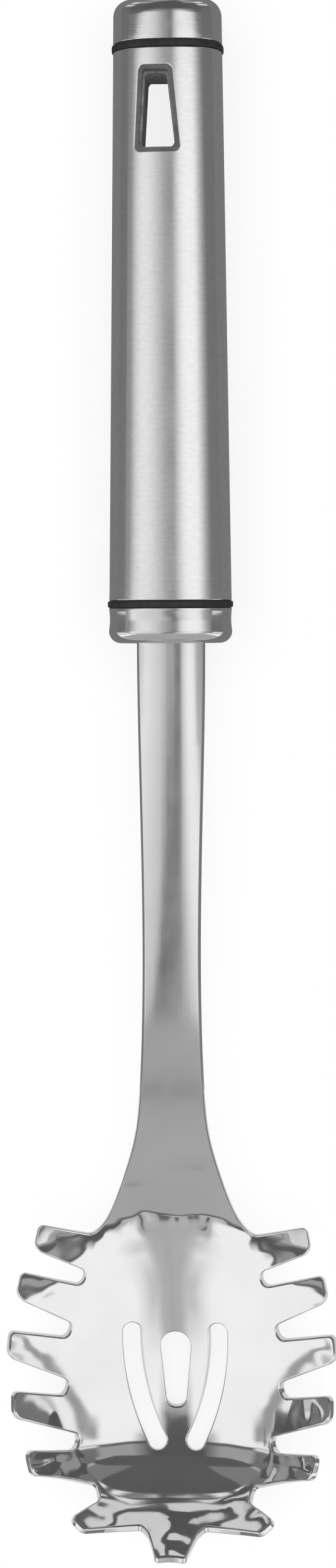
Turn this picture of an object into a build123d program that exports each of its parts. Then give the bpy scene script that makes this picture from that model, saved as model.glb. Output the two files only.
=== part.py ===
from build123d import *
import math
import os

# Pasta server, lying on its back with the bowl open upwards.
# X runs across, +Y points to the end cap, +Z is up, and z = 0 is the table.
# A station is a distance along the server from the end cap's face.

# Driving dimensions, overall
overall_length = 333.4
sheet = 1.8
oval_exponent = 2.6
oval_points_per_side = 12

# Driving dimensions, handle
cap_length = 9.3
ring_length = 1.5
tube_length = 116.0
ferrule_length = 7.6
cap_end_width = 23.2
ferrule_end_width = 26.4
handle_thickness = 17.0
tube_wall = 0.9
cap_wall = 1.0
cap_floor = 2.0
ferrule_floor = 1.6
cap_edge_radius = 3.2
ferrule_edge_radius = 2.6
ring_proud = 0.3
fit_clearance = 0.1

# Driving dimensions, hang hole
hole_start = 14.6
hole_length = 17.8
hole_narrow_width = 6.9
hole_wide_width = 9.6
hole_narrow_offset = -2.2
hole_wide_offset = -1.8
hole_corner_radius = 1.1
frame_wall = 0.8
frame_corner_radius = 0.7
frame_depth = 3.0
frame_recess = 0.2
passage_step = 0.4
hang_plug_margin = 6.0

# Driving dimensions, stem and tang
stem_root_width = 15.4
stem_waist_width = 13.2
stem_waist_station = 222.0
stem_middle_width = 13.6
stem_middle_station = 180.0
stem_crown = 1.3
tang_length = 32.0
tang_width = 12.6
pin_diameter = 3.0
pin_length = 12.0
pin_spacing = 14.0
stem_slot_clearance = 0.15
stem_slot_corner_radius = 0.4

# Driving dimensions, bowl seen along its middle
neck_height = 13.4
crown_end_station = 236.0
dive_start = 254.0
dive_end = 320.0
front_centre = 313.0

# Driving dimensions, bowl seen across
wall_slope = 26.0
wall_reach = 18.0
wall_fade_start = 256.0
wall_fade_length = 24.0
rim_bend_start = 17.0
rim_bend_length = 8.0
tine_slope_first = 8.0
tine_slope_last = 52.0
tine_slope_start = 262.0
tine_slope_end = 315.0
tine_fade_start = 252.0
tine_fade_length = 16.0
front_slope = 74.0
front_reach = 20.0

# Neck outline, as half widths at stations
neck_stations = [234.7, 243.0, 251.0, 259.0, 262.4, 264.5]
neck_half_widths = [7.2, 8.2, 10.4, 13.3, 15.2, 18.6]

# Notches and tines on the flat blank, counted from the neck to the tip
notch_across = [19.9, 23.8, 25.1, 22.8, 18.7, 8.8]
notch_station = [274.4, 286.5, 299.7, 312.6, 324.3, 335.8]
notch_half_width = 1.7
rear_corner_across = [29.2, 33.6, 37.6, 38.8, 37.6, 28.2, 5.8]
rear_corner_station = [262.2, 272.0, 284.8, 297.9, 310.8, 329.2, 346.2]
front_corner_across = [30.6, 35.5, 39.0, 39.8, 37.4, 25.5]
front_corner_station = [267.5, 277.6, 290.5, 303.5, 317.0, 333.2]
rear_corner_radius = 1.3
front_corner_radius = 2.6
notch_root_radius = 1.6

# Openings in the bowl
egg_station = 288.5
egg_length = 17.6
egg_wide_width = 6.6
egg_narrow_width = 4.4
slot_across = [9.6, 8.4, 4.2]
slot_station = [288.0, 301.5, 314.0]
slot_width = 3.9

# Blank that the head is cut from
blank_half_width = 43.0
blank_end = 355.0
blank_step = 3.0
blank_tolerance = 0.02
meridian_step = 1.0
edge_overrun_share = 0.3
cap_edge_sections = 7

# Sizes that follow
axis_height = handle_thickness / 2 + ring_proud
tube_start = cap_length + ring_length
tube_end = tube_start + tube_length
ferrule_start = tube_end + ring_length
ferrule_end = ferrule_start + ferrule_length
tang_start = ferrule_start - tang_length
pin_stations = [tang_start + tang_length / 2 - pin_spacing / 2, tang_start + tang_length / 2 + pin_spacing / 2]
neck_plug_start = tang_start - 2 * tube_wall
pin_hole_radius = pin_diameter / 2 + fit_clearance
hang_plug_start = cap_floor + fit_clearance
hang_plug_end = hole_start + hole_length + hang_plug_margin
cut_reach = 12 * sheet
far_reach = 3 * blank_half_width / 2
plan_reach = 6 * handle_thickness
slope_step = sheet / 10


def along(station):
    """Place on the Y axis of a station."""
    return overall_length / 2 - station


def ease(share):
    """Smooth step from 0 to 1 while the share runs from 0 to 1."""
    kept = min(max(share, 0), 1)
    return kept * kept * (3 - 2 * kept)


def handle_half_width(station):
    """Half width of the handle, which widens evenly towards the ferrule."""
    share = (station - tube_start) / tube_length
    return (cap_end_width + (ferrule_end_width - cap_end_width) * share) / 2


def centre_height(station):
    """Height of the sheet's upper face on the server's middle line."""
    root_height = axis_height + sheet / 2
    stem_share = (station - ferrule_end) / (dive_start - ferrule_end)
    stem = root_height + (neck_height - root_height) * ease(stem_share)
    dive = min(max((station - dive_start) / (dive_end - dive_start), 0), 1)
    return stem - (neck_height - sheet) * dive**2 * (6 - 8 * dive + 3 * dive**2)


def sheet_slope(distance, station, turn):
    """Slope in degrees at a distance from the middle line, where turn is 1 straight ahead."""
    wall = wall_slope * min(distance / wall_reach, 1)
    wall *= ease((station - wall_fade_start) / wall_fade_length)
    share = (station - tine_slope_start) / (tine_slope_end - tine_slope_start)
    tine = tine_slope_first + (tine_slope_last - tine_slope_first) * min(max(share, 0), 1)
    tine *= ease((station - tine_fade_start) / tine_fade_length)
    side = wall + (tine - wall) * ease((distance - rim_bend_start) / rim_bend_length)
    front = front_slope * min(distance / front_reach, 1)
    return side + (front - side) * ease(turn)


def sheet_point(across, station):
    """Point of the pressed sheet's upper face for a place on the flat blank."""
    foot = min(station, front_centre)
    distance = math.hypot(across, station - foot)
    height = centre_height(station if station < front_centre else min(station, dive_end))
    if distance == 0:
        return Vector(0, along(station), height)
    aside = across / distance
    ahead = (station - foot) / distance
    turn = math.atan2(ahead, abs(aside)) / (math.pi / 2)
    steps = math.ceil(distance / meridian_step)
    step = distance / steps
    reach = 0
    rise = 0
    for index in range(steps):
        slope = math.radians(sheet_slope((index + 0.5) * step, station, turn))
        reach += step * math.cos(slope)
        rise += step * math.sin(slope)
    crown = stem_crown * (1 - ease((station - ferrule_end) / (crown_end_station - ferrule_end)))
    spread = (2 * across / stem_root_width) ** 4
    dip = 2 * crown * spread / (1 + spread) * ease((station - ferrule_start) / ferrule_length)
    return Vector(aside * reach, along(foot + ahead * reach), height + rise - dip)


def sheet_normal(across, station):
    """Upward normal of the sheet at a place on the flat blank."""
    beside = sheet_point(across + slope_step, station) - sheet_point(across - slope_step, station)
    behind = sheet_point(across, station - slope_step) - sheet_point(across, station + slope_step)
    return beside.cross(behind).normalized()


def sheet_plane(across, station, toward_across, toward_station):
    """Plane on the sheet at a flat place, with its X axis towards a second flat place."""
    here = sheet_point(across, station)
    way = sheet_point(toward_across, toward_station) - here
    return Plane(origin=here, x_dir=way, z_dir=sheet_normal(across, station))


def spot_on(plane, across, station):
    """Place, on a plane near the sheet, of a place on the flat blank."""
    spot = plane.to_local_coords(sheet_point(across, station))
    return Vector(spot.X, spot.Y)


def handle_plane(station):
    """Upright plane across the handle at a station."""
    return Plane.XZ.offset(-along(station))


def oval(station, shrink):
    """Sketch of the handle's oval section, drawn in by a wall."""
    half_width = handle_half_width(station) - shrink
    half_height = handle_thickness / 2 - shrink
    count = 4 * oval_points_per_side
    places = []
    for index in range(count):
        angle = 2 * math.pi * index / count
        across = math.copysign(abs(math.cos(angle)) ** (2 / oval_exponent), math.cos(angle))
        up = math.copysign(abs(math.sin(angle)) ** (2 / oval_exponent), math.sin(angle))
        places.append((half_width * across, axis_height + half_height * up))
    with BuildSketch(handle_plane(station)) as section:
        with BuildLine():
            Spline(*places, periodic=True)
        make_face()
    return section.sketch


def handle_bar(start, end, shrink, mode=Mode.ADD):
    """Loft the handle's oval between two stations."""
    loft([oval(start, shrink), oval(end, shrink)], mode=mode)


def hang_outline(height, inset, corner_radius):
    """Sketch of the hang hole at a height, narrow towards the end cap, drawn in by an inset."""
    narrow_half = hole_narrow_width / 2 - inset
    wide_half = hole_wide_width / 2 - inset
    top = along(hole_start + inset)
    bottom = along(hole_start + hole_length - inset)
    with BuildSketch(Plane.XY.offset(height)) as outline:
        with BuildLine():
            FilletPolyline(
                (hole_narrow_offset - narrow_half, top),
                (hole_narrow_offset + narrow_half, top),
                (hole_wide_offset + wide_half, bottom),
                (hole_wide_offset - wide_half, bottom),
                radius=corner_radius,
                close=True,
            )
        make_face()
    return outline.sketch


os.makedirs("parts", exist_ok=True)

# Head: one pressed sheet with bowl, tines, neck, stem and tang
across_count = 2 * math.ceil(blank_half_width / blank_step) + 1
along_count = math.ceil((blank_end - tang_start) / blank_step) + 1
upper_rows = []
lower_rows = []
for row in range(along_count):
    row_station = tang_start + (blank_end - tang_start) * row / (along_count - 1)
    upper_row = []
    lower_row = []
    for column in range(across_count):
        column_across = blank_half_width * (2 * column / (across_count - 1) - 1)
        upper_row.append(sheet_point(column_across, row_station))
        lower_row.append(upper_row[-1] - sheet_normal(column_across, row_station) * sheet)
    upper_rows.append(upper_row)
    lower_rows.append(lower_row)
upper_skin = Face.make_surface_from_array_of_points(upper_rows, tol=blank_tolerance)
lower_skin = Face.make_surface_from_array_of_points(lower_rows, tol=blank_tolerance)
skin_rims = []
for axis in (Axis.X, Axis.Y):
    for pick in (0, -1):
        upper_edge = upper_skin.edges().sort_by(axis)[pick]
        lower_edge = lower_skin.edges().sort_by(axis)[pick]
        skin_rims.append(Face.make_surface_from_curves(upper_edge, lower_edge))
blank = Solid(Shell([upper_skin, lower_skin, *skin_rims]))

with BuildPart() as server_head:
    add(blank)
    # Plan outline of tang, stem, neck and the rear side of the first tine
    first_rear = sheet_point(rear_corner_across[0], rear_corner_station[0])
    first_front = sheet_point(front_corner_across[0], front_corner_station[0])
    first_edge = first_front + (first_front - first_rear) * edge_overrun_share
    neck_end = Vector(neck_half_widths[-1], along(neck_stations[-1]))
    neck_line = [(half, along(place)) for half, place in zip(neck_half_widths[:-1], neck_stations[:-1])]
    with BuildSketch(Plane.XY):
        with BuildLine():
            tang_side = Polyline(
                (0, along(tang_start)),
                (tang_width / 2, along(tang_start)),
                (tang_width / 2, along(ferrule_start)),
                (stem_root_width / 2, along(ferrule_start)),
                (stem_root_width / 2, along(ferrule_end)),
            )
            Spline(
                tang_side @ 1,
                (stem_middle_width / 2, along(stem_middle_station)),
                (stem_waist_width / 2, along(stem_waist_station)),
                *neck_line,
                neck_end,
                tangents=[(0, -1), (first_rear.X - neck_end.X, first_rear.Y - neck_end.Y)],
            )
            first_tine = FilletPolyline(
                neck_end,
                (first_rear.X, first_rear.Y),
                (first_edge.X, first_edge.Y),
                radius=rear_corner_radius,
            )
            Polyline(
                first_tine @ 1,
                (blank_half_width, first_edge.Y),
                (blank_half_width, along(blank_end)),
                (0, along(blank_end)),
            )
            mirror(about=Plane.YZ)
        make_face()
    extrude(amount=plan_reach, mode=Mode.INTERSECT, clean=False)

    # Egg-shaped hole and the two curved slots
    with BuildSketch(Plane.XY):
        egg_radius = egg_wide_width / 2
        egg_end_radius = egg_narrow_width / 2
        with Locations((0, along(egg_station + egg_radius))):
            Circle(egg_radius)
        with Locations((0, along(egg_station + egg_length - egg_end_radius))):
            Circle(egg_end_radius)
        make_hull()
    extrude(amount=plan_reach, mode=Mode.SUBTRACT, clean=False)
    with BuildSketch(Plane.XY):
        with BuildLine():
            ThreePointArc(*[(across, along(place)) for across, place in zip(slot_across, slot_station)])
            offset(amount=slot_width / 2, kind=Kind.ARC)
        make_face()
        mirror(about=Plane.YZ)
    extrude(amount=plan_reach, mode=Mode.SUBTRACT, clean=False)

    # Holes in the tang for the pins
    with BuildSketch(Plane.XY):
        with Locations(*[(0, along(station)) for station in pin_stations]):
            Circle(pin_hole_radius)
    extrude(amount=plan_reach, mode=Mode.SUBTRACT, clean=False)

    # Notches between the tines, each with the tine corners on both sides of it
    for side in (1, -1):
        for index in range(len(notch_across)):
            root = (side * notch_across[index], notch_station[index])
            rear = (side * front_corner_across[index], front_corner_station[index])
            ahead = (side * rear_corner_across[index + 1], rear_corner_station[index + 1])
            middle = ((rear[0] + ahead[0]) / 2, (rear[1] + ahead[1]) / 2)
            notch_plane = sheet_plane(*root, *middle)
            rear_far = spot_on(notch_plane, side * rear_corner_across[index], rear_corner_station[index])
            rear_near = spot_on(notch_plane, *rear)
            ahead_near = spot_on(notch_plane, *ahead)
            if index + 1 < len(front_corner_across):
                beyond = (side * front_corner_across[index + 1], front_corner_station[index + 1])
            else:
                beyond = (-side * rear_corner_across[-1], rear_corner_station[-1])
            ahead_far = spot_on(notch_plane, *beyond)
            spread = notch_half_width * math.copysign(1, rear_near.Y)
            flare = math.copysign(far_reach / 2, rear_near.Y)
            rear_edge = rear_far + (rear_far - rear_near) * edge_overrun_share
            ahead_edge = ahead_far + (ahead_far - ahead_near) * edge_overrun_share
            corner_radii = [front_corner_radius, notch_root_radius, notch_root_radius, rear_corner_radius]
            with BuildSketch(notch_plane):
                with BuildLine():
                    cut_edge = FilletPolyline(
                        rear_edge,
                        rear_near,
                        (0, spread),
                        (0, -spread),
                        ahead_near,
                        ahead_edge,
                        radius=corner_radii,
                    )
                    Polyline(
                        cut_edge @ 1,
                        (far_reach, ahead_edge.Y - flare),
                        (far_reach, rear_edge.Y + flare),
                        cut_edge @ 0,
                    )
                make_face()
            extrude(amount=cut_reach, both=True, mode=Mode.SUBTRACT, clean=False)

server_head.part.label = "server_head"
export_step(server_head.part, "parts/server_head.step")

# Ferrule: drawn collar with a slot in its floor for the stem
with BuildPart() as ferrule:
    handle_bar(ferrule_start, ferrule_end, 0)
    fillet(ferrule.edges().group_by(Axis.Y)[0], ferrule_edge_radius)
    handle_bar(ferrule_start, ferrule_end - ferrule_floor, tube_wall, Mode.SUBTRACT)
    slot_top = axis_height + sheet / 2 + stem_slot_clearance
    slot_bottom = axis_height - sheet / 2 - stem_crown - stem_slot_clearance
    with BuildSketch(handle_plane(ferrule_end)):
        with Locations((0, (slot_top + slot_bottom) / 2)):
            RectangleRounded(
                stem_root_width + 2 * stem_slot_clearance,
                slot_top - slot_bottom,
                stem_slot_corner_radius,
            )
    extrude(amount=-2 * ferrule_floor, mode=Mode.SUBTRACT)
ferrule.part.label = "ferrule"
export_step(ferrule.part, "parts/ferrule.step")

# Rings: soft washers that stand a little proud at both ends of the tube
with BuildPart() as lower_ring:
    handle_bar(tube_end, ferrule_start, -ring_proud)
    handle_bar(tube_end, ferrule_start, tube_wall, Mode.SUBTRACT)
lower_ring.part.label = "lower_ring"
export_step(lower_ring.part, "parts/lower_ring.step")

with BuildPart() as upper_ring:
    handle_bar(cap_length, tube_start, -ring_proud)
    handle_bar(cap_length, tube_start, tube_wall, Mode.SUBTRACT)
upper_ring.part.label = "upper_ring"
export_step(upper_ring.part, "parts/upper_ring.step")

# Handle tube: oval tube, with the hang hole through both walls
with BuildPart() as handle_tube:
    handle_bar(tube_start, tube_end, 0)
    handle_bar(tube_start, tube_end, tube_wall, Mode.SUBTRACT)
    extrude(hang_outline(0, 0, hole_corner_radius), amount=2 * handle_thickness, mode=Mode.SUBTRACT)
handle_tube.part.label = "handle_tube"
export_step(handle_tube.part, "parts/handle_tube.step")

# End cap: drawn cup with a large rounded edge
with BuildPart() as end_cap:
    handle_bar(cap_edge_radius, cap_length, 0)
    dome = []
    for index in range(cap_edge_sections):
        angle = math.pi / 2 * index / (cap_edge_sections - 1)
        dome.append(oval(cap_edge_radius * (1 - math.sin(angle)), cap_edge_radius * (1 - math.cos(angle))))
    loft(dome)
    handle_bar(cap_floor, cap_length, cap_wall, Mode.SUBTRACT)
end_cap.part.label = "end_cap"
export_step(end_cap.part, "parts/end_cap.step")

# Neck plug: two moulded halves that clamp the tang inside the tube and the lower ring
plug_shrink = tube_wall + fit_clearance
tang_channel_length = ferrule_start - tang_start + fit_clearance
for name, up in (("neck_plug_front", 1), ("neck_plug_rear", -1)):
    with BuildPart() as neck_plug_half:
        handle_bar(neck_plug_start, ferrule_start, plug_shrink)
        split(bisect_by=Plane.XY.offset(axis_height), keep=Keep.TOP if up == 1 else Keep.BOTTOM)
        with BuildSketch(Plane.XY.offset(axis_height)):
            with Locations((0, along(ferrule_start - tang_channel_length / 2))):
                Rectangle(tang_width + 2 * fit_clearance, tang_channel_length)
        extrude(amount=up * (sheet / 2 + fit_clearance), mode=Mode.SUBTRACT)
        with BuildSketch(Plane.XY.offset(axis_height)):
            with Locations(*[(0, along(station)) for station in pin_stations]):
                Circle(pin_diameter / 2)
        extrude(amount=up * pin_length / 2, mode=Mode.SUBTRACT)
    neck_plug_half.part.label = name
    export_step(neck_plug_half.part, f"parts/{name}.step")

# Tang pins: two dowels through the plug halves and the tang
with BuildPart() as tang_pins:
    with BuildSketch(Plane.XY.offset(axis_height)):
        with Locations(*[(0, along(station)) for station in pin_stations]):
            Circle(pin_diameter / 2)
    extrude(amount=pin_length / 2, both=True)
tang_pins.part.label = "tang_pins"
export_step(tang_pins.part, "parts/tang_pins.step")

# Hang plug: solid core in the cap, ring and tube end, with the passage and a seat for each frame
seat_height = handle_thickness / 2 - frame_depth
with BuildPart() as hang_plug:
    handle_bar(hang_plug_start, hang_plug_end, plug_shrink)
    passage = hang_outline(0, frame_wall + passage_step, hole_corner_radius)
    extrude(passage, amount=2 * handle_thickness, mode=Mode.SUBTRACT)
    for up in (1, -1):
        seat = hang_outline(axis_height + up * seat_height, 0, hole_corner_radius)
        extrude(seat, amount=up * handle_thickness, mode=Mode.SUBTRACT)
hang_plug.part.label = "hang_plug"
export_step(hang_plug.part, "parts/hang_plug.step")

# Hang frames: thin bezels that line the hole in the front and the rear wall
for name, up in (("hang_frame_front", 1), ("hang_frame_rear", -1)):
    with BuildPart() as hang_frame:
        seat = axis_height + up * seat_height
        extrude(hang_outline(seat, 0, hole_corner_radius), amount=up * handle_thickness)
        bore = hang_outline(seat, frame_wall, frame_corner_radius)
        extrude(bore, amount=up * handle_thickness, mode=Mode.SUBTRACT)
        handle_bar(tube_start, hang_plug_end, frame_recess, Mode.INTERSECT)
    hang_frame.part.label = name
    export_step(hang_frame.part, f"parts/{name}.step")
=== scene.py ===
import math

import bpy
import numpy as np
from mathutils import Matrix, Vector, geometry, kdtree


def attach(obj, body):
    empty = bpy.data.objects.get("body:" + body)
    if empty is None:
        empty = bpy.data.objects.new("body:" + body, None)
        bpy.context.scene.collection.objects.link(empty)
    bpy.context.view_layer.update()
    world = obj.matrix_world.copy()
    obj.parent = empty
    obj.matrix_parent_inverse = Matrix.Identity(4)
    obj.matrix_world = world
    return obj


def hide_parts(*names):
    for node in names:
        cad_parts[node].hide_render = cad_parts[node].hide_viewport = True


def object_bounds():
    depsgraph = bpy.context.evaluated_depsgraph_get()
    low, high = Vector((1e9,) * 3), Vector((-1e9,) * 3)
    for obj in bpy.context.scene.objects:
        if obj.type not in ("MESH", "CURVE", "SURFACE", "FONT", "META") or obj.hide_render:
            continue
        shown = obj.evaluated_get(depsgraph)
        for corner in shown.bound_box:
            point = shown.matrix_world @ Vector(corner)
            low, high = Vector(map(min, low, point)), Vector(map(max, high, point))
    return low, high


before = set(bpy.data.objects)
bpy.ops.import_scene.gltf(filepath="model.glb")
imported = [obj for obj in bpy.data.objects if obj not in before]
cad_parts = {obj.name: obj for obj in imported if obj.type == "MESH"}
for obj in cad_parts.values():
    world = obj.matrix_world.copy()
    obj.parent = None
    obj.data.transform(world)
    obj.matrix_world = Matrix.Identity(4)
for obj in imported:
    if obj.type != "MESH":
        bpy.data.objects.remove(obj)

cad_low, cad_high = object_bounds()

# Pasta server on its back, bowl open upwards. Lengths are millimetres until a mesh is made.
# A station is a distance along the server from the end cap's face.
MM = 0.001
overall_length = (cad_high.y - cad_low.y) / MM
sheet = 1.8
oval_exponent = 2.6

# Handle
cap_length = 9.3
ring_length = 1.5
tube_length = 116.0
ferrule_length = 7.6
cap_end_width = 23.2
ferrule_end_width = 26.4
handle_thickness = 17.0
tube_wall = 0.9
cap_edge_radius = 3.2
ferrule_edge_radius = 2.6
ring_proud = 0.3
axis_height = handle_thickness / 2 + ring_proud
tube_start = cap_length + ring_length
tube_end = tube_start + tube_length
ferrule_start = tube_end + ring_length
ferrule_end = ferrule_start + ferrule_length

# Hang hole
hole_start = 14.6
hole_length = 17.8
hole_narrow_width = 6.9
hole_wide_width = 9.6
hole_narrow_offset = -2.2
hole_wide_offset = -1.8
hole_corner_radius = 1.1

# Stem and tang
stem_root_width = 15.4
stem_waist_width = 13.2
stem_waist_station = 222.0
stem_middle_width = 13.6
stem_middle_station = 180.0
stem_crown = 1.3
tang_length = 32.0
tang_width = 12.6
tang_start = ferrule_start - tang_length

# Bowl along its middle and across
neck_height = 13.4
crown_end_station = 236.0
dive_start = 254.0
dive_end = 320.0
front_centre = 313.0
wall_slope = 26.0
wall_reach = 18.0
wall_fade_start = 256.0
wall_fade_length = 24.0
rim_bend_start = 17.0
rim_bend_length = 8.0
tine_slope_first = 8.0
tine_slope_last = 52.0
tine_slope_start = 262.0
tine_slope_end = 315.0
tine_fade_start = 252.0
tine_fade_length = 16.0
front_slope = 74.0
front_reach = 20.0

# Outline of the neck, notches and tines on the flat blank
neck_stations = [234.7, 243.0, 251.0, 259.0, 262.4, 264.5]
neck_half_widths = [7.2, 8.2, 10.4, 13.3, 15.2, 18.6]
notch_across = [19.9, 23.8, 25.1, 22.8, 18.7, 8.8]
notch_station = [274.4, 286.5, 299.7, 312.6, 324.3, 335.8]
notch_half_width = 1.7
rear_corner_across = [29.2, 33.6, 37.6, 38.8, 37.6, 28.2, 5.8]
rear_corner_station = [262.2, 272.0, 284.8, 297.9, 310.8, 329.2, 346.2]
front_corner_across = [30.6, 35.5, 39.0, 39.8, 37.4, 25.5]
front_corner_station = [267.5, 277.6, 290.5, 303.5, 317.0, 333.2]
rear_corner_radius = 1.3
front_corner_radius = 2.6
notch_root_radius = 1.6

# Openings in the bowl
egg_station = 288.5
egg_length = 17.6
egg_wide_width = 6.6
egg_narrow_width = 4.4
slot_across = [9.6, 8.4, 4.2]
slot_station = [288.0, 301.5, 314.0]
slot_width = 3.9

# Rounding of the sheets' edges
bowl_edge_radius = 0.45
stem_edge_radius = 0.85
edge_change_station = 232.0
edge_change_length = 30.0
wall_edge_radius = 0.3

# Fineness of the meshes
loop_step = 0.6
head_spacing = 1.3
tube_spacing = 1.6
edge_rows = 4
meridian_steps = 40
section_points = 160
lap_samples = 4001
fewest_corner_steps = 4
fewest_span_steps = 3
egg_wide_steps = 24
egg_narrow_steps = 16
slot_steps = 40
slot_end_steps = 12
probe = 0.1
same_place = 1e-6
joined_digits = 4
border_clearance = 0.55
batch_size = 1000

# Turned skins of the cap, the ferrule and the rings
lip_radius = 0.25
lip_land = 0.6
lip_steps = 5
large_edge_steps = 14
face_rows = [2.4, 0.3]
cap_side_steps = 8
ferrule_side_steps = 9
ferrule_waist = 0.18
ring_shoulder = 0.45
ring_shoulder_steps = 6


def along(station):
    """Place on the Y axis of a station."""
    return overall_length / 2 - station


def ease(share):
    """Smooth step from 0 to 1 while the share runs from 0 to 1."""
    kept = np.clip(share, 0, 1)
    return kept * kept * (3 - 2 * kept)


def unit(vectors):
    """Vectors scaled to length 1."""
    return vectors / np.linalg.norm(vectors, axis=-1, keepdims=True)


def centre_height(station):
    """Height of the sheet's upper face on the server's middle line."""
    root_height = axis_height + sheet / 2
    stem_share = (station - ferrule_end) / (dive_start - ferrule_end)
    stem = root_height + (neck_height - root_height) * ease(stem_share)
    dive = np.clip((station - dive_start) / (dive_end - dive_start), 0, 1)
    return stem - (neck_height - sheet) * dive**2 * (6 - 8 * dive + 3 * dive**2)


def sheet_slope(distance, station, turn):
    """Slope in degrees at a distance from the middle line, where turn is 1 straight ahead."""
    wall = wall_slope * np.minimum(distance / wall_reach, 1)
    wall = wall * ease((station - wall_fade_start) / wall_fade_length)
    share = (station - tine_slope_start) / (tine_slope_end - tine_slope_start)
    tine = tine_slope_first + (tine_slope_last - tine_slope_first) * np.clip(share, 0, 1)
    tine = tine * ease((station - tine_fade_start) / tine_fade_length)
    side = wall + (tine - wall) * ease((distance - rim_bend_start) / rim_bend_length)
    front = front_slope * np.minimum(distance / front_reach, 1)
    return side + (front - side) * ease(turn)


def sheet_points(across, station):
    """Points of the pressed sheet's upper face for places on the flat blank."""
    foot = np.minimum(station, front_centre)
    distance = np.hypot(across, station - foot)
    divisor = np.where(distance > 0, distance, 1)
    aside = across / divisor
    ahead = (station - foot) / divisor
    turn = np.arctan2(ahead, np.abs(aside)) / (math.pi / 2)
    step = distance / meridian_steps
    reach = np.zeros_like(distance)
    rise = np.zeros_like(distance)
    for index in range(meridian_steps):
        slope = np.radians(sheet_slope((index + 0.5) * step, station, turn))
        reach += step * np.cos(slope)
        rise += step * np.sin(slope)
    crown = stem_crown * (1 - ease((station - ferrule_end) / (crown_end_station - ferrule_end)))
    spread = (2 * across / stem_root_width) ** 4
    dip = 2 * crown * spread / (1 + spread) * ease((station - ferrule_start) / ferrule_length)
    height = centre_height(station) + rise - dip
    return np.stack([aside * reach, along(foot + ahead * reach), height], axis=-1)


def head_surface(flat):
    """Points and upward normals of the head for flat places."""
    across, station = flat[:, 0], flat[:, 1]
    beside = sheet_points(across + probe, station) - sheet_points(across - probe, station)
    behind = sheet_points(across, station - probe) - sheet_points(across, station + probe)
    return sheet_points(across, station), unit(np.cross(beside, behind))


def edge_radius_at(station):
    """Radius of the sheet's edges, which are softer on the stem than round the bowl."""
    share = ease((station - edge_change_station) / edge_change_length)
    return stem_edge_radius + (bowl_edge_radius - stem_edge_radius) * share


def half_width(station):
    """Half width of the handle, which widens evenly towards the ferrule."""
    share = (station - tube_start) / tube_length
    return (cap_end_width + (ferrule_end_width - cap_end_width) * share) / 2


def oval(angle, half_across, half_up):
    """Points across and up on the handle's oval section."""
    across = half_across * np.sign(np.cos(angle)) * np.abs(np.cos(angle)) ** (2 / oval_exponent)
    up = half_up * np.sign(np.sin(angle)) * np.abs(np.sin(angle)) ** (2 / oval_exponent)
    return across, up


# Laps round the tube's middle section, from its left side over the top
fine_angles = math.pi - np.linspace(0, 2 * math.pi, lap_samples)
middle_half_width = half_width((tube_start + tube_end) / 2)
fine_across, fine_up = oval(fine_angles, middle_half_width, handle_thickness / 2)
fine_laps = np.concatenate([[0], np.cumsum(np.hypot(np.diff(fine_across), np.diff(fine_up)))])
tube_lap = fine_laps[-1]


def tube_surface(flat):
    """Points and outward normals of the tube for places given by lap and station."""
    angle = np.interp(flat[:, 0] % tube_lap, fine_laps, fine_angles)
    half_across = half_width(flat[:, 1])
    half_up = handle_thickness / 2
    across, up = oval(angle, half_across, half_up)
    power = oval_exponent - 1
    lean = np.sign(across) * np.abs(across / half_across) ** power / half_across
    lift = np.sign(up) * np.abs(up / half_up) ** power / half_up
    taper = (ferrule_end_width - cap_end_width) / 2 / tube_length
    points = np.stack([across, along(flat[:, 1]), axis_height + up], axis=-1)
    normals = np.stack([lean, lean * across / half_across * taper, lift], axis=-1)
    return points, unit(normals)


def rounded_line(corners, radii, closed=False):
    """Points a step apart along straight lines with rounded corners."""
    corners = [np.array(corner, float) for corner in corners]
    count = len(corners)
    line = [] if closed else [corners[0]]
    inner = range(count) if closed else range(1, count - 1)
    for index, radius in zip(inner, radii):
        corner = corners[index]
        before = corners[index - 1] - corner
        after = corners[(index + 1) % count] - corner
        before = before / np.linalg.norm(before)
        after = after / np.linalg.norm(after)
        half_opening = math.acos(np.clip(before @ after, -1, 1)) / 2
        cut = radius / math.tan(half_opening)
        middle = corner + unit(before + after) * radius / math.sin(half_opening)
        sweep = math.pi - 2 * half_opening
        steps = max(fewest_corner_steps, math.ceil(radius * sweep / loop_step))
        first = unit(corner + before * cut - middle)
        last = unit(corner + after * cut - middle)
        for share in np.linspace(0, 1, steps + 1):
            blend = math.sin((1 - share) * sweep) * first + math.sin(share * sweep) * last
            line.append(middle + radius * blend / math.sin(sweep))
    if not closed:
        line.append(corners[-1])
    return np.array(line)


def smooth_line(places, start_way, end_way):
    """Points along a curve through places, with given ways at both ends."""
    places = np.array(places, float)
    spans = np.linalg.norm(np.diff(places, axis=0), axis=1)
    count = len(places)
    system = np.zeros((count, count))
    wanted = np.zeros((count, 2))
    system[0, 0] = system[-1, -1] = 1
    wanted[0] = np.array(start_way) / np.linalg.norm(start_way)
    wanted[-1] = np.array(end_way) / np.linalg.norm(end_way)
    for index in range(1, count - 1):
        before, after = spans[index - 1], spans[index]
        system[index, index - 1] = after
        system[index, index] = 2 * (before + after)
        system[index, index + 1] = before
        rise = (places[index] - places[index - 1]) / before * after
        rise += (places[index + 1] - places[index]) / after * before
        wanted[index] = 3 * rise
    ways = np.linalg.solve(system, wanted)
    line = []
    for index in range(count - 1):
        steps = max(fewest_span_steps, math.ceil(spans[index] / loop_step))
        share = np.linspace(0, 1, steps, endpoint=False)[:, None]
        inward = 1 - share
        line.append(
            places[index] * inward**2 * (1 + 2 * share)
            + places[index + 1] * share**2 * (3 - 2 * share)
            + (ways[index] * inward - ways[index + 1] * share) * share * inward * spans[index]
        )
    return np.concatenate([*line, places[-1:]])


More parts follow.
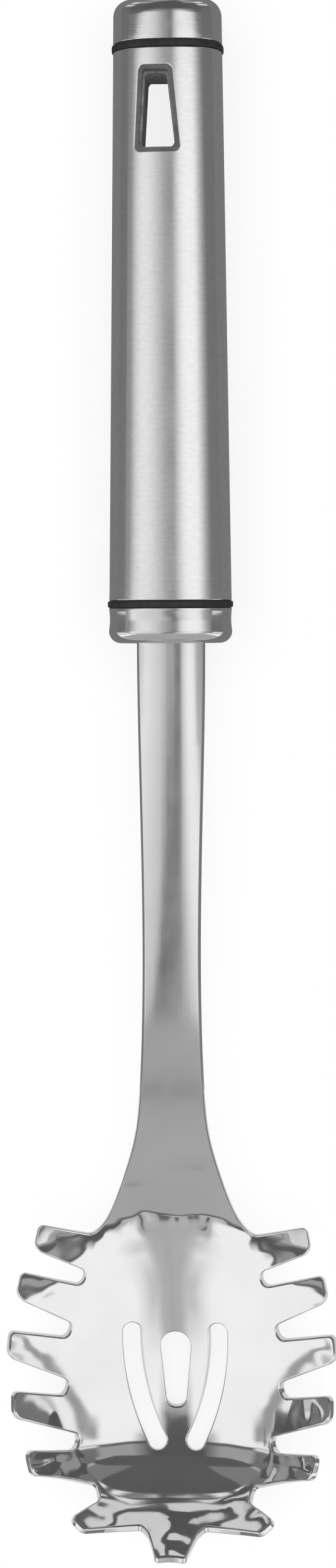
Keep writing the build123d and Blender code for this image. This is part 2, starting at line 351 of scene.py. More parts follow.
def evened(loop):
    """Closed loop with its long straight stretches divided."""
    line = []
    for here, there in zip(loop, np.roll(loop, -1, axis=0)):
        gap = np.linalg.norm(there - here)
        if gap > same_place:
            steps = max(1, round(gap / loop_step))
            line += [here + (there - here) * share for share in np.arange(steps) / steps]
    return np.array(line)


def head_outline():
    """Closed outline of the head on the flat blank."""
    neck_end = (neck_half_widths[-1], neck_stations[-1])
    first_rear = (rear_corner_across[0], rear_corner_station[0])
    tang = [
        (tang_width / 2, tang_start),
        (tang_width / 2, ferrule_start),
        (stem_root_width / 2, ferrule_start),
    ]
    places = [
        (stem_root_width / 2, ferrule_end),
        (stem_middle_width / 2, stem_middle_station),
        (stem_waist_width / 2, stem_waist_station),
        *zip(neck_half_widths, neck_stations),
    ]
    neck = smooth_line(places, (0, 1), np.subtract(first_rear, neck_end))
    corners = [neck_end]
    radii = []
    for index in range(len(notch_across)):
        rear = np.array((rear_corner_across[index], rear_corner_station[index]))
        front = np.array((front_corner_across[index], front_corner_station[index]))
        ahead = np.array((rear_corner_across[index + 1], rear_corner_station[index + 1]))
        root = np.array((notch_across[index], notch_station[index]))
        way = unit((front + ahead) / 2 - root)
        side = np.array((way[1], -way[0])) * notch_half_width
        corners += [rear, front, root + side, root - side]
        radii += [rear_corner_radius, front_corner_radius, notch_root_radius, notch_root_radius]
    tip = np.array((rear_corner_across[-1], rear_corner_station[-1]))
    corners += [tip, tip * np.array((-1, 1))]
    radii += [rear_corner_radius]
    tines = rounded_line(corners, radii)[1:-1]
    right = np.concatenate([tang, neck, tines])
    left = right[::-1] * np.array((-1, 1))
    return evened(np.concatenate([right, left]))


def egg_outline():
    """Closed outline of the egg-shaped hole."""
    wide, narrow = egg_wide_width / 2, egg_narrow_width / 2
    wide_middle = egg_station + wide
    narrow_middle = egg_station + egg_length - narrow
    lean = math.asin((wide - narrow) / (narrow_middle - wide_middle))
    ahead = np.linspace(lean, math.pi - lean, egg_narrow_steps)
    behind = np.linspace(math.pi - lean, 2 * math.pi + lean, egg_wide_steps)
    front = np.stack([narrow * np.cos(ahead), narrow_middle + narrow * np.sin(ahead)], axis=1)
    rear = np.stack([wide * np.cos(behind), wide_middle + wide * np.sin(behind)], axis=1)
    return evened(np.concatenate([front, rear]))


def slot_outline(side):
    """Closed outline of one curved slot, on the right for side 1."""
    start, middle, end = (np.array(place) for place in zip(slot_across, slot_station))
    rows = np.array([middle - start, end - middle])
    sums = np.array([(middle @ middle - start @ start) / 2, (end @ end - middle @ middle) / 2])
    centre = np.linalg.solve(rows, sums)
    radius = np.linalg.norm(start - centre)
    first = math.atan2(*(start - centre)[::-1])
    last = math.atan2(*(end - centre)[::-1])
    half = slot_width / 2
    turns = np.linspace(first, last, slot_steps)
    outer = centre + (radius + half) * np.stack([np.cos(turns), np.sin(turns)], axis=1)
    inner = centre + (radius - half) * np.stack([np.cos(turns), np.sin(turns)], axis=1)[::-1]
    cap = np.linspace(0, math.pi, slot_end_steps)[1:-1]
    end_cap = end + half * np.stack([np.cos(last + cap), np.sin(last + cap)], axis=1)
    start_cap = start - half * np.stack([np.cos(first + cap), np.sin(first + cap)], axis=1)
    loop = np.concatenate([outer, end_cap, inner, start_cap])
    return evened(loop * np.array((side, 1)))


def hang_outline(up):
    """Closed outline of the hang hole on the tube, on the upper wall for up 1."""
    bottom = hole_start + hole_length
    corners = [
        (hole_narrow_offset - hole_narrow_width / 2, hole_start),
        (hole_narrow_offset + hole_narrow_width / 2, hole_start),
        (hole_wide_offset + hole_wide_width / 2, bottom),
        (hole_wide_offset - hole_wide_width / 2, bottom),
    ]
    loop = evened(rounded_line(corners, [hole_corner_radius] * 4, closed=True))
    across = loop[:, 0] * middle_half_width / half_width(loop[:, 1])
    half = len(fine_laps) // 2
    if up == 1:
        laps = np.interp(across, fine_across[: half + 1], fine_laps[: half + 1])
    else:
        laps = np.interp(across, fine_across[half:][::-1], fine_laps[half:][::-1])
    return np.stack([laps, loop[:, 1]], axis=1)


def directed(loop, clockwise):
    """Loop turned so that it runs clockwise or not, seen with stations running down."""
    x, y = loop[:, 0], -loop[:, 1]
    area = np.sum(x * np.roll(y, -1) - np.roll(x, -1) * y) / 2
    return loop[::-1] if (area < 0) != clockwise else loop


def drawn_in(loop, amount):
    """Loop moved sideways into the material by an amount."""
    way = unit(np.roll(loop, -1, axis=0) - np.roll(loop, 1, axis=0))
    return loop + np.stack([way[:, 1], -way[:, 0]], axis=1) * np.reshape(amount, (-1, 1))


def inside(places, loop):
    """Whether each place lies inside a loop."""
    ax, ay = loop[:, 0], loop[:, 1]
    bx, by = np.roll(ax, -1), np.roll(ay, -1)
    rise = np.where(by == ay, 1, by - ay)
    kept = []
    for part in np.array_split(places, max(1, len(places) // batch_size)):
        x, y = part[:, 0, None], part[:, 1, None]
        crosses = ((ay > y) != (by > y)) & (x < ax + (y - ay) * (bx - ax) / rise)
        kept.append(np.count_nonzero(crosses, axis=1) % 2 == 1)
    return np.concatenate(kept)


def flat_triangles(outer, holes, spacing):
    """Flat places and triangles that fill a loop, clear of the holes."""
    low, high = outer.min(axis=0), outer.max(axis=0)
    columns = np.arange(low[0] + spacing / 2, high[0], spacing)
    rows = np.arange(low[1] + spacing / 2, high[1], spacing)
    grid = np.stack(np.meshgrid(columns, rows), axis=-1).reshape(-1, 2)
    grid = grid[inside(grid, outer)]
    for hole in holes:
        grid = grid[~inside(grid, hole)]
    loops = [outer, *holes]
    border = np.concatenate(loops)
    tree = kdtree.KDTree(len(border))
    for index, place in enumerate(border):
        tree.insert((*place, 0), index)
    tree.balance()
    far = [tree.find((*place, 0))[2] > border_clearance * spacing for place in grid]
    places = np.concatenate([border, grid[np.array(far)]])
    edges = []
    start = 0
    for loop in loops:
        count = len(loop)
        edges += [(start + index, start + (index + 1) % count) for index in range(count)]
        start += count
    seen = [Vector((place[0], -place[1])) for place in places]
    made = geometry.delaunay_2d_cdt(seen, edges, [], 1, same_place)
    places = np.array([(place.x, -place.y) for place in made[0]])
    triangles = np.array([face for face in made[2] if len(face) == 3])
    middles = places[triangles].mean(axis=1)
    kept = inside(middles, outer)
    for hole in holes:
        kept &= ~inside(middles, hole)
    return places, triangles[kept]


def make_piece(name, points, faces, normals, material, node, slot):
    """Mesh from points in millimetres with doubled points joined, as a piece that replaces a node."""
    whole = np.round(points, joined_digits)
    kept, first, where = np.unique(whole, axis=0, return_index=True, return_inverse=True)
    where = where.ravel()
    joined = []
    for face in faces:
        ring = [int(where[index]) for index in face]
        ring = [index for place, index in enumerate(ring) if index != ring[place - 1]]
        if len(set(ring)) == len(ring) > 2:
            joined.append(ring)
    mesh = bpy.data.meshes.new(name)
    mesh.from_pydata((kept * MM).tolist(), [], joined)
    mesh.validate()
    mesh.shade_smooth()
    if normals is not None:
        mesh.normals_split_custom_set_from_vertices(normals[first].tolist())
    mesh.materials.append(material)
    piece = bpy.data.objects.new(name, mesh)
    bpy.context.scene.collection.objects.link(piece)
    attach(piece, "root")
    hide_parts(node)


def shell(surface, outer, holes, rims, radii, spacing, thickness):
    """Points, faces and normals of a sheet with rounded rims, from loops on its flat blank."""
    places, triangles = flat_triangles(outer, holes, spacing)
    upper, normals = surface(places)
    points = [upper, upper - normals * thickness]
    ways = [normals, -normals]
    faces = [tuple(face) for face in triangles]
    faces += [tuple(face[::-1] + len(places)) for face in triangles]
    total = 2 * len(places)
    angles = np.linspace(0, math.pi / 2, edge_rows + 1)
    for rim, radius in zip(rims, radii):
        base, lift = surface(rim)
        edge_radius = np.broadcast_to(radius, len(rim))[:, None]
        away = unit(np.cross(np.roll(base, -1, axis=0) - np.roll(base, 1, axis=0), lift))
        rows = []
        for angle in angles:
            out, drop = edge_radius * math.sin(angle), edge_radius * (1 - math.cos(angle))
            rows.append((base + away * out - lift * drop, away * math.sin(angle) + lift * math.cos(angle)))
        for angle in angles[::-1]:
            out, drop = edge_radius * math.sin(angle), thickness - edge_radius * (1 - math.cos(angle))
            rows.append((base + away * out - lift * drop, away * math.sin(angle) - lift * math.cos(angle)))
        count = len(rim)
        for row in range(len(rows) - 1):
            upper_start = total + row * count
            for index in range(count):
                there = (index + 1) % count
                faces.append((
                    upper_start + index,
                    upper_start + count + index,
                    upper_start + count + there,
                    upper_start + there,
                ))
        points += [row[0] for row in rows]
        ways += [row[1] for row in rows]
        total += count * len(rows)
    return np.concatenate(points), faces, np.concatenate(ways)


def turned(rows, closed=False):
    """Points and faces of a skin over oval sections, each given by its station and drawing in."""
    laps = np.linspace(0, tube_lap, section_points, endpoint=False)
    angles = np.interp(laps, fine_laps, fine_angles)
    points = []
    for station, shrink in rows:
        across, up = oval(angles, half_width(station) - shrink, handle_thickness / 2 - shrink)
        points.append(np.stack([across, np.full_like(up, along(station)), axis_height + up], axis=1))
    faces = []
    for row in range(len(rows) if closed else len(rows) - 1):
        here, there = row * section_points, (row + 1) % len(rows) * section_points
        for index in range(section_points):
            after = (index + 1) % section_points
            faces.append((here + index, there + index, there + after, here + after))
    if not closed:
        faces.append(tuple(range(section_points)))
        last = (len(rows) - 1) * section_points
        faces.append(tuple(range(last + section_points - 1, last - 1, -1)))
    return np.concatenate(points), faces


def rounded_edge(edge, radius, steps, way):
    """Rows of a skin round an edge: from the edge to the wall for way 1, and from the wall to it for -1."""
    rows = []
    for angle in np.linspace(math.pi / 2, 0, steps):
        rows.append((edge + way * radius * (1 - math.sin(angle)), radius * (1 - math.cos(angle))))
    return rows[::way]


def node_of(tree, kind, **values):
    """New shader node with some of its values set."""
    made = tree.nodes.new(kind)
    for name, value in values.items():
        setattr(made, name, value)
    return made


def wire(tree, start, end):
    """Link from an output to an input socket."""
    tree.links.new(start, end)


def feed(tree, sockets, values):
    """Give each socket a link from an output, or else a value of its own."""
    for socket, value in zip(sockets, values):
        if isinstance(value, bpy.types.NodeSocket):
            wire(tree, value, socket)
        else:
            socket.default_value = value


def computed(tree, operation, *operands):
    """Result of a math node."""
    sum_node = node_of(tree, "ShaderNodeMath", operation=operation)
    feed(tree, sum_node.inputs, operands)
    return sum_node.outputs[0]


def remapped(tree, value, before, after=(0, 1), smooth=False):
    """Value carried from one range to another, and held at the ends."""
    span = node_of(tree, "ShaderNodeMapRange", interpolation_type="SMOOTHSTEP" if smooth else "LINEAR")
    sockets = [span.inputs[name] for name in ("Value", "From Min", "From Max", "To Min", "To Max")]
    feed(tree, sockets, (value, *before, *after))
    return span.outputs["Result"]


def mixed(tree, kind, share, first, second):
    """First of two values at share 0 and second at share 1, for the kind FLOAT or RGBA."""
    mix = node_of(tree, "ShaderNodeMix", data_type=kind)
    feed(tree, [mix.inputs[name] for name in ("Factor", "A", "B")], (share, first, second))
    return mix.outputs["Result"]


def object_place(tree):
    """Place on the object."""
    return node_of(tree, "ShaderNodeTexCoord").outputs["Object"]


def place_parts(tree):
    """X, Y and Z of the place on the object."""
    parts = node_of(tree, "ShaderNodeSeparateXYZ")
    wire(tree, object_place(tree), parts.inputs["Vector"])
    return parts.outputs


def fine_texture(tree, scale, detail, stretch=(1, 1, 1)):
    """Noise fixed to the object, at a scale per metre, stretched along its axes."""
    mapping = node_of(tree, "ShaderNodeMapping")
    feed(tree, (mapping.inputs["Vector"], mapping.inputs["Scale"]), (object_place(tree), stretch))
    noise = node_of(tree, "ShaderNodeTexNoise")
    sockets = [noise.inputs[name] for name in ("Vector", "Scale", "Detail")]
    feed(tree, sockets, (mapping.outputs["Vector"], scale, detail))
    return noise.outputs["Fac"]


def spread(tree, noise, low, high):
    """Noise spread over another range."""
    return remapped(tree, noise, noise_range, (low, high))


def bumped(tree, height, depth, before=None):
    """Bump from a height, on top of an earlier bump, with its depth in metres."""
    bump = node_of(tree, "ShaderNodeBump")
    feed(tree, [bump.inputs[name] for name in ("Strength", "Distance", "Height")], (1, depth, height))
    if before is not None:
        wire(tree, before, bump.inputs["Normal"])
    return bump.outputs["Normal"]


def tinted(tree, noise, dark, light):
    """Grey that runs between two levels with a noise."""
    level = spread(tree, noise, dark, light)
    grey = node_of(tree, "ShaderNodeCombineColor")
    for channel in ("Red", "Green", "Blue"):
        wire(tree, level, grey.inputs[channel])
    return grey.outputs["Color"]


# Steel and plastic, with depths of grain in metres
noise_range = (0.3, 0.7)
bowl_roughness = (0.05, 0.10)
stem_roughness = (0.10, 0.14)
hair_depth = 0.0000025
cloud_coarseness = 4

# Waves in the polished sheet: strong on the tines, faint in the bowl and least on the stem
tine_wave_depth = 0.0009
bowl_wave_share = 0.10
stem_wave_share = 0.02
bowl_middle_station = 296.0
bowl_calm_radius = 29.0
bowl_wavy_radius = 38.0


def blank_material(name):
    """New node material with its tree and the inputs of its shader."""
    material = bpy.data.materials.new(name)
    material.use_nodes = True
    tree = material.node_tree
    return material, tree, tree.nodes["Principled BSDF"].inputs


def polished_steel():
    """Mirror-polished steel with waves, haze and hairline scratches, and a duller finish on the stem."""
    material, tree, shader = blank_material("polished_steel")
    shader["Metallic"].default_value = 1
    cloud = fine_texture(tree, scale=60, detail=4)
    wire(tree, tinted(tree, cloud, dark=0.81, light=0.87), shader["Base Color"])
    neck = (along(neck_stations[1]) * MM, along(neck_stations[4]) * MM)
    bowl_share = remapped(tree, place_parts(tree)["Y"], neck, smooth=True)
    haze = fine_texture(tree, scale=240, detail=5, stretch=(1, 0.5, 1))
    finishes = [spread(tree, haze, *roughness) for roughness in (stem_roughness, bowl_roughness)]
    wire(tree, mixed(tree, "FLOAT", bowl_share, *finishes), shader["Roughness"])
    reach = node_of(tree, "ShaderNodeVectorMath", operation="DISTANCE")
    feed(tree, reach.inputs, (object_place(tree), (0, along(bowl_middle_station) * MM, 0)))
    radii = (bowl_calm_radius * MM, bowl_wavy_radius * MM)
    tine_share = remapped(tree, reach.outputs["Value"], radii, (bowl_wave_share, 1), smooth=True)
    amount = mixed(tree, "FLOAT", bowl_share, stem_wave_share, tine_share)
    swell = computed(tree, "MULTIPLY", fine_texture(tree, scale=110, detail=1), amount)
    hairs = fine_texture(tree, scale=900, detail=2, stretch=(1, 0.06, 1))
    wire(tree, bumped(tree, hairs, hair_depth, bumped(tree, swell, tine_wave_depth)), shader["Normal"])
    return material


def grained_steel(name, greys, cloud, roughness, haze, grain, depth):
    """Steel from its greys, roughness and depth of grain, and the scale, detail and stretch of each noise."""
    material, tree, shader = blank_material(name)
    shader["Metallic"].default_value = 1
    wire(tree, tinted(tree, fine_texture(tree, *cloud), *greys), shader["Base Color"])
    wire(tree, spread(tree, fine_texture(tree, *haze), *roughness), shader["Roughness"])
    wire(tree, bumped(tree, fine_texture(tree, *grain), depth), shader["Normal"])
    return material


def satin_steel():
    """Satin-polished steel of the cap and the ferrule."""
    return grained_steel(
        "satin_steel",
        greys=(0.80, 0.86),
        cloud=(120, 4),
        roughness=(0.08, 0.14),
        haze=(500, 4, (0.4, 1, 0.4)),
        grain=(2500, 2, (0.15, 1, 0.15)),
        depth=0.000004,
    )


def brushed_steel():
    """Brushed steel of the handle tube, with its grain across the handle."""
    return grained_steel(
        "brushed_steel",
        greys=(0.83, 0.90),
        cloud=(1400, 5, (0.5, 1, 0.5)),
        roughness=(0.14, 0.18),
        haze=(60, 3),
        grain=(5000, 3, (0.3, 1, 0.3)),
        depth=0.0000025,
    )


def plain_plastic(name, greys, roughness, scale, depth):
    """Moulded plastic or rubber with a fine surface, given by its greys, roughness and grain."""
    material, tree, shader = blank_material(name)
    grain = fine_texture(tree, scale, detail=4)
    cloud = fine_texture(tree, scale / cloud_coarseness, detail=3)
    wire(tree, tinted(tree, cloud, *greys), shader["Base Color"])
    wire(tree, spread(tree, grain, *roughness), shader["Roughness"])
    wire(tree, bumped(tree, grain, depth), shader["Normal"])
    return material


def dress(node, material):
    """Give a node of the frame a material."""
    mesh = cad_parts[node].data
    mesh.materials.clear()
    mesh.materials.append(material)


def build_head(material):
    """Pressed head with bowl, tines, neck, stem and tang."""
    outline = directed(head_outline(), False)
    openings = [directed(loop, True) for loop in (egg_outline(), slot_outline(1), slot_outline(-1))]
    radii = [edge_radius_at(loop[:, 1]) for loop in (outline, *openings)]
    outer, *holes = [drawn_in(loop, radius) for loop, radius in zip((outline, *openings), radii)]
    made = shell(head_surface, outer, holes, [outer, *holes], radii, head_spacing, sheet)
    make_piece("head_sheet", *made, material, "server_head", "steel_polished")


def build_tube(material):
    """Handle tube with the hang hole through its upper and lower walls."""
    holes = [drawn_in(directed(hang_outline(up), True), wall_edge_radius) for up in (1, -1)]
    near, far = tube_start + wall_edge_radius, tube_end - wall_edge_radius
    count = round(tube_lap / loop_step)
    laps = np.arange(count) / count * tube_lap
    near_rim = np.stack([laps, np.full(count, near)], axis=1)[::-1]
    far_rim = np.stack([laps, np.full(count, far)], axis=1)
    side = np.arange(near, far, loop_step)[1:]
    left = np.stack([np.zeros_like(side), side], axis=1)
    right = left + np.array((tube_lap, 0))
    corners = np.array([(tube_lap, near), (tube_lap, far)])
    outer = np.concatenate([near_rim[::-1], corners[:1], right, corners[1:], far_rim[::-1], left[::-1]])
    outer = directed(outer, False)
    rims = [near_rim, far_rim, *holes]
    made = shell(tube_surface, outer, holes, rims, [wall_edge_radius] * 4, tube_spacing, tube_wall)
    make_piece("tube_shell", *made, material, "handle_tube", "steel_brushed")


def build_cap(material):
    """End cap with its large rounded edge and flat face."""
    rows = [(0, cap_edge_radius + inset) for inset in face_rows]
    rows += rounded_edge(0, cap_edge_radius, large_edge_steps, 1)
    side = np.linspace(cap_edge_radius, cap_length - lip_radius, cap_side_steps)[1:]
    rows += [(place, 0) for place in side]
    rows += rounded_edge(cap_length, lip_radius, lip_steps, -1)[1:]
    rows.append((cap_length, lip_radius + lip_land))
    make_piece("cap_shell", *turned(rows), None, material, "end_cap", "steel_satin")


def build_ferrule(material):
    """Ferrule: a slightly waisted collar with a rounded outer end."""
    side_start, side_end = ferrule_start + lip_radius, ferrule_end - ferrule_edge_radius
    rows = [(ferrule_start, lip_radius + lip_land)]
    rows += rounded_edge(ferrule_start, lip_radius, lip_steps, 1)
    for share in np.linspace(0, 1, ferrule_side_steps)[1:]:
        rows.append((side_start + (side_end - side_start) * share, ferrule_waist * math.sin(math.pi * share)))
    rows += rounded_edge(ferrule_end, ferrule_edge_radius, large_edge_steps, -1)[1:]
    rows += [(ferrule_end, ferrule_edge_radius + inset) for inset in face_rows[::-1]]
    make_piece("ferrule_shell", *turned(rows), None, material, "ferrule", "steel_satin")


def build_ring(name, node, start, material):
    """Soft ring with rounded shoulders that stands a little proud of the steel."""
    end = start + ring_length
    shoulders = rounded_edge(start, ring_shoulder, ring_shoulder_steps, 1)
    shoulders += rounded_edge(end, ring_shoulder, ring_shoulder_steps, -1)
    rows = [(station, shrink - ring_proud) for station, shrink in shoulders]
    rows = [(start, tube_wall), *rows, (end, tube_wall)]
    make_piece(name, *turned(rows, closed=True), None, material, node, "ring_rubber")


# Studio. Floor, apron, tent and shadow reach are in metres
floor_half_size = 4.0
apron_half_size = 3.8
floor_drop = 0.0004
floor_grey = 0.85
shadow_reach = 0.014
shadow_level = 0.84
shadow_samples = 16
room_level = 0.9
apron_level = 0.2
tent_radius = 12.0
tent_columns = 48
tent_rows = 24

# Pale mat under the bowl, strips of light over the handle and stem, and a grey roof over the neck
mat_start = 235.0
mat_end = 365.0
mat_half_width = 90.0
mat_level = 0.7
strip_start = -60.0
strip_split = 128.0
strip_end = 235.0
strip_half_width = 310.0
strip_height = 250.0
strip_reach = 60.0
stem_sway = 17.0
roof_end = 262.0
roof_level = 0.40

# Screens that stand across the bowl's rear
screen_station = 265.0
screen_gap = 0.5
screen_bottom = 22.0
screen_step = 100.0
screen_top = 245.0
screen_half_width = strip_half_width / 2
screen_foot_half_width = 38.0
screen_wing_half_width = 120.0
rear_screen_level = 0.42
front_screen_level = 0.11
wing_level = 0.22

# Bands of the strips: degrees to the right of the vertical, each with a level
handle_stops = [
    (-60, 0.18), (-50, 0.24), (-43, 0.40), (-33, 0.74), (-25, 0.88), (-16, 0.84), (-9, 0.68), (-5, 0.48),
    (-3, 0.28), (-1.2, 0.14), (0, 0.30), (1.5, 0.62), (4, 0.86), (9, 1.0), (18, 1.0), (25, 0.96), (31, 0.70),
    (36, 0.48), (43, 0.32), (50, 0.18), (60, 0.12),
]
stem_stops = [
    (-60, 0.18), (-50, 0.30), (-44, 0.62), (-39, 0.90), (-30, 0.84), (-16, 0.74), (-8, 0.68), (-5, 0.62),
    (-3.4, 0.50), (-2.4, 0.20), (-1, 0.12), (0.5, 0.24), (2.5, 0.54), (6, 0.76), (12, 0.92), (20, 0.95),
    (26, 0.86), (31, 0.52), (36, 0.38), (44, 0.28), (60, 0.12),
]

# Columns of the tent, from its middle outwards: degrees from the vertical towards the cap, each with a level
lens_stops = [
    (-90, 0.30), (-55, 0.46), (-44, 0.46), (-41, 0.40), (-38.5, 0.14), (-33, 0.12), (-32, 0.85), (-29, 0.95),
    (-27.5, 0.50), (-25.4, 0.42), (-24.6, 0.11), (72, 0.10), (88, 0.14), (90, 0.30),
]
core_stops = [
    (-90, 0.30), (-70, 0.42), (-55, 0.46), (-43, 0.50), (-36, 0.48), (-30, 0.52), (-25.4, 0.44),
    (-24.6, 0.11), (72, 0.10), (88, 0.14), (90, 0.30),
]
middle_stops = [
    (-90, 0.30), (-70, 0.42), (-55, 0.50), (-49, 0.60), (-44, 0.85), (-38, 1.0), (-22, 1.0), (-21, 0.10),
    (13, 0.10), (60, 0.10), (76, 0.14), (90, 0.30),
]
flank_stops = [
    (-90, 0.30), (-66, 0.75), (-50, 1.0), (-14, 1.0), (-12, 0.13), (-9, 0.14), (-7, 0.38), (11, 0.38),
    (15, 0.12), (56, 0.12), (66, 0.50), (72, 0.16), (80, 0.50), (90, 0.40),
]
edge_stops = [
    (-90, 0.30), (-66, 0.60), (-46, 1.0), (-24.5, 1.0), (-23, 0.36), (-20, 0.36), (-18.5, 0.95), (-15, 0.95),
    (-12, 0.50), (-10.5, 0.85), (-9, 0.80), (-7.5, 0.20), (20, 0.16), (40, 0.14), (46, 0.85), (50, 0.90),
    (53, 0.14), (56, 0.14), (59, 0.80), (64, 0.85), (70, 0.20), (90, 0.40),
]

# Degrees beside the tent's leaning middle where each column starts to give way to the next, and is gone
column_changes = [(1.6, 2.6), (6, 11), (16, 28), (48, 56)]
column_reach = 90.0
middle_lean = 4.0
far_side_stops = [(0, 1.0), (100, 1.0), (125, 0.70), (180, 0.40)]


def plate(name, half_across, half_along, height, material):
    """Flat stage card."""
    mesh = bpy.data.meshes.new(name)
    corners = [(-1, -1), (1, -1), (1, 1), (-1, 1)]
    mesh.from_pydata([(x * half_across, y * half_along, height) for x, y in corners], [], [(0, 1, 2, 3)])
    mesh.materials.append(material)
    card = bpy.data.objects.new(name, mesh)
    bpy.context.scene.collection.objects.link(card)
    return card


def only_in_reflections(card):
    """Show a stage card to reflections and no other ray."""
    card.visible_camera = False
    card.visible_diffuse = False
    card.visible_shadow = False
    card.visible_volume_scatter = False


def seen_share(tree):
    """1 for camera, glossy and transmission rays, else 0."""
    path = node_of(tree, "ShaderNodeLightPath").outputs
    nearer = computed(tree, "MAXIMUM", path["Is Camera Ray"], path["Is Glossy Ray"])
    return computed(tree, "MAXIMUM", nearer, path["Is Transmission Ray"])


def ramp(tree, value, stops, low, high):
    """Grey level that follows stops of degrees and levels."""
    colours = node_of(tree, "ShaderNodeValToRGB")
    elements = colours.color_ramp.elements
    while len(elements) < len(stops):
        elements.new(0.5)
    for element, (degrees, level) in zip(elements, stops):
        element.position = (degrees - low) / (high - low)
        element.color = (level, level, level, 1)
    wire(tree, remapped(tree, value, (low, high)), colours.inputs["Fac"])
    return colours.outputs["Color"]


def arc_degrees(tree, rise, run):
    """Angle in degrees of a rise over a run."""
    return computed(tree, "DEGREES", computed(tree, "ARCTAN2", rise, run))


def emptied(owner, output_kind):
    """Node tree of a material or a world, with nothing but its output, and the output's surface."""
    owner.use_nodes = True
    tree = owner.node_tree
    tree.nodes.clear()
    return tree, node_of(tree, output_kind).inputs["Surface"]


def glow_material(name):
    """New material that only glows, with its tree and its colour socket."""
    material = bpy.data.materials.new(name)
    tree, surface = emptied(material, "ShaderNodeOutputMaterial")
    glow = node_of(tree, "ShaderNodeEmission")
    wire(tree, glow.outputs["Emission"], surface)
    return material, tree, glow.inputs["Color"]


def grey_glow(name, level):
    """Even glow of one grey."""
    material, tree, colour = glow_material(name)
    colour.default_value = (level, level, level, 1)
    return material


def strip_glow(name, stops, sway, half_along):
    """Light and dark bands that run along a strip, and shift to the left by a sway at its bowl end."""
    material, tree, colour = glow_material(name)
    parts = place_parts(tree)
    shift = remapped(tree, parts["Y"], (-half_along, half_along), (sway, 0))
    side_angle = arc_degrees(tree, computed(tree, "ADD", parts["X"], shift), parts["Z"])
    wire(tree, ramp(tree, side_angle, stops, -strip_reach, strip_reach), colour)
    return material


def tent_glow():
    """Soft columns of light and dark, fixed to the tent."""
    material, tree, colour = glow_material("tent_glow")
    parts = place_parts(tree)
    squares = [computed(tree, "MULTIPLY", parts[axis], parts[axis]) for axis in "XZ"]
    run = computed(tree, "SQRT", computed(tree, "ADD", *squares))
    along_angle = arc_degrees(tree, parts["Y"], run)
    side_angle = arc_degrees(tree, parts["X"], parts["Z"])
    aside = computed(tree, "ABSOLUTE", computed(tree, "ADD", side_angle, middle_lean))
    level = ramp(tree, along_angle, lens_stops, -90, 90)
    for (start, end), stops in zip(column_changes, (core_stops, middle_stops, flank_stops, edge_stops)):
        share = ramp(tree, aside, [(0, 0), (start, 0), (end, 1)], 0, column_reach)
        level = mixed(tree, "RGBA", share, level, ramp(tree, along_angle, stops, -90, 90))
    far_share = ramp(tree, aside, far_side_stops, 0, 180)
    wire(tree, mixed(tree, "RGBA", far_share, (0, 0, 0, 1), level), colour)
    return material


def white_floor():
    """Pale floor that shows white but keeps the server's contact shadow."""
    material = bpy.data.materials.new("white_floor")
    tree, surface = emptied(material, "ShaderNodeOutputMaterial")
    paint = node_of(tree, "ShaderNodeBsdfDiffuse")
    paint.inputs["Color"].default_value = (floor_grey, floor_grey, floor_grey, 1)
    glow = node_of(tree, "ShaderNodeEmission")
    shade = node_of(tree, "ShaderNodeAmbientOcclusion", samples=shadow_samples)
    shade.inputs["Distance"].default_value = shadow_reach
    wire(tree, remapped(tree, shade.outputs["AO"], (0, 1), (shadow_level, 1)), glow.inputs["Strength"])
    mix = node_of(tree, "ShaderNodeMixShader")
    feed(tree, mix.inputs, (seen_share(tree), paint.outputs["BSDF"], glow.outputs["Emission"]))
    wire(tree, mix.outputs["Shader"], surface)
    return material


def build_floor():
    """White floor, with the grey apron and the pale mat that reflections show in its place."""
    plate("floor", floor_half_size, floor_half_size, -floor_drop, white_floor())
    apron_glow = grey_glow("apron_grey", apron_level)
    only_in_reflections(plate("apron", apron_half_size, apron_half_size, -floor_drop / 2, apron_glow))
    mat_half_along = (mat_end - mat_start) / 2 * MM
    mat = plate("mat", mat_half_width * MM, mat_half_along, -floor_drop / 4, grey_glow("mat_grey", mat_level))
    mat.location.y = along((mat_start + mat_end) / 2) * MM
    only_in_reflections(mat)


def build_strip(name, start, end, material):
    """Card that lies over the server between two stations."""
    strip = plate(name, strip_half_width * MM, (end - start) / 2 * MM, strip_height * MM, material)
    strip.location.y = along((start + end) / 2) * MM
    only_in_reflections(strip)


def build_strips():
    """Banded strips over the handle and the stem, and the grey roof over the neck."""
    for name, start, end, stops, sway in (
        ("handle_strip", strip_start, strip_split, handle_stops, 0),
        ("stem_strip", strip_split, strip_end, stem_stops, stem_sway),
    ):
        build_strip(name, start, end, strip_glow(name + "_glow", stops, sway * MM, (end - start) / 2 * MM))
    build_strip("neck_roof", strip_end, roof_end, grey_glow("neck_roof_grey", roof_level))


def build_screens():
    """Upright screens: one that the neck reflects, and those behind it that the bowl's front reflects."""
    for name, row, bottom, top, half_across, level in (
        ("rear_screen", 0, screen_bottom, screen_top, screen_half_width, rear_screen_level),
        ("front_wings", 1, screen_bottom, screen_step, screen_wing_half_width, wing_level),
        ("front_screen", 2, screen_step, screen_top, screen_half_width, front_screen_level),
        ("front_screen_foot", 2, screen_bottom, screen_step, screen_foot_half_width, front_screen_level),
    ):
        screen = plate(name, half_across * MM, (top - bottom) / 2 * MM, 0, grey_glow(name + "_grey", level))
        screen.rotation_euler.x = math.pi / 2
        screen.location = (0, along(screen_station + row * screen_gap) * MM, (bottom + top) / 2 * MM)
        only_in_reflections(screen)


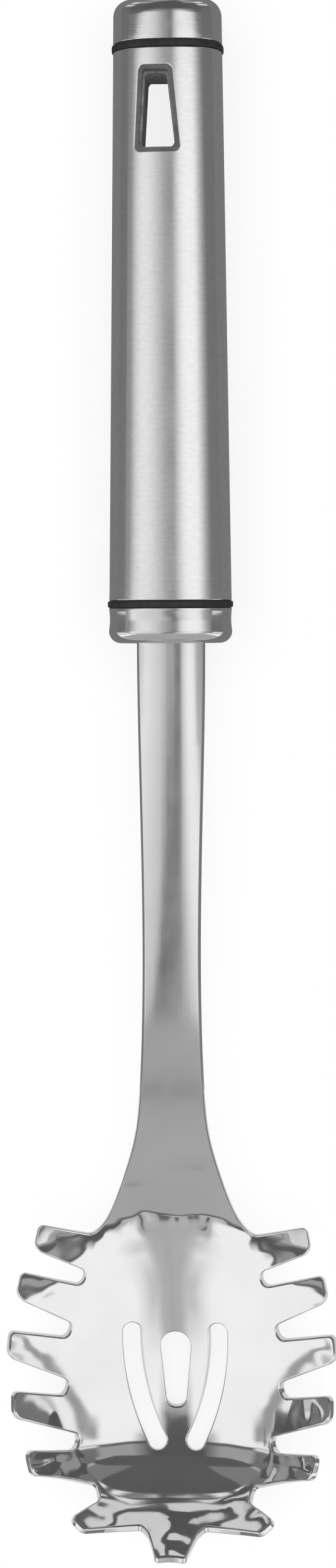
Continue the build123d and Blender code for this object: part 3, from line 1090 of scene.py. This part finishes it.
def build_tent():
    """Wide round tent that the steel reflects."""
    points = []
    faces = []
    for row in range(tent_rows + 1):
        lift = math.pi * (row / tent_rows - 0.5)
        for column in range(tent_columns):
            turn = 2 * math.pi * column / tent_columns
            way = (math.cos(lift) * math.cos(turn), math.cos(lift) * math.sin(turn), math.sin(lift))
            points.append(tuple(tent_radius * part for part in way))
    for row in range(tent_rows):
        here, there = row * tent_columns, (row + 1) * tent_columns
        for column in range(tent_columns):
            after = (column + 1) % tent_columns
            faces.append((here + column, there + column, there + after, here + after))
    mesh = bpy.data.meshes.new("tent")
    mesh.from_pydata(points, [], faces)
    mesh.shade_smooth()
    mesh.materials.append(tent_glow())
    tent = bpy.data.objects.new("tent", mesh)
    bpy.context.scene.collection.objects.link(tent)
    only_in_reflections(tent)


def build_world():
    """Soft light from all round, and a white background."""
    world = bpy.data.worlds.new("studio")
    bpy.context.scene.world = world
    tree, surface = emptied(world, "ShaderNodeOutputWorld")
    light, white = (node_of(tree, "ShaderNodeBackground") for _ in range(2))
    light.inputs["Strength"].default_value = room_level
    for background in (light, white):
        background.inputs["Color"].default_value = (1, 1, 1, 1)
    mix = node_of(tree, "ShaderNodeMixShader")
    feed(tree, mix.inputs, (seen_share(tree), light.outputs["Background"], white.outputs["Background"]))
    wire(tree, mix.outputs["Shader"], surface)


# Camera, by its station, its offset to the right and its height above the handle's axis
camera_station = 128.65
camera_offset = 36.0
camera_height = 556.0
camera_lean_across = -0.0661
camera_lean_along = -0.0680
camera_turn_degrees = 0.30
camera_lens = 59.11
camera_sensor = 36.0
camera_clip_start = 0.01


def build_camera():
    """Camera close above the handle's end, as in the photograph."""
    place = Vector((camera_offset, along(camera_station), axis_height + camera_height)) * MM
    aim = Vector((
        camera_offset + camera_lean_across * camera_height,
        along(camera_station) + camera_lean_along * camera_height,
        axis_height,
    )) * MM
    turn = math.radians(camera_turn_degrees)
    back = (place - aim).normalized()
    right = Vector((math.sin(turn), math.cos(turn), 0)).cross(back).normalized()
    axes = Matrix((right, back.cross(right), back)).transposed()
    data = bpy.data.cameras.new("camera")
    data.sensor_width = camera_sensor
    data.lens = camera_lens
    data.clip_start = camera_clip_start
    camera = bpy.data.objects.new("camera", data)
    bpy.context.scene.collection.objects.link(camera)
    camera.matrix_world = Matrix.Translation(place) @ axes.to_4x4()
    bpy.context.scene.camera = camera


build_camera()
build_floor()
build_strips()
build_screens()
build_tent()
build_world()
bpy.context.scene.view_settings.view_transform = "Standard"

polished = polished_steel()
satin = satin_steel()
brushed = brushed_steel()
rubber = plain_plastic("ring_rubber", (0.012, 0.025), (0.45, 0.65), scale=3000, depth=0.00002)
moulded = plain_plastic("moulded_plastic", (0.06, 0.09), (0.4, 0.6), scale=2000, depth=0.00001)
granular = plain_plastic("granular_core", (0.22, 0.46), (0.5, 0.8), scale=2600, depth=0.00006)
bezel = plain_plastic("bezel_plastic", (0.09, 0.14), (0.25, 0.4), scale=1500, depth=0.000005)
build_head(polished)
build_tube(brushed)
build_cap(satin)
build_ferrule(satin)
build_ring("upper_ring_soft", "upper_ring", cap_length, rubber)
build_ring("lower_ring_soft", "lower_ring", tube_end, rubber)
for node, material in (
    ("hang_plug", granular),
    ("hang_frame_front", bezel),
    ("hang_frame_rear", bezel),
    ("neck_plug_front", moulded),
    ("neck_plug_rear", moulded),
    ("tang_pins", satin),
):
    dress(node, material)
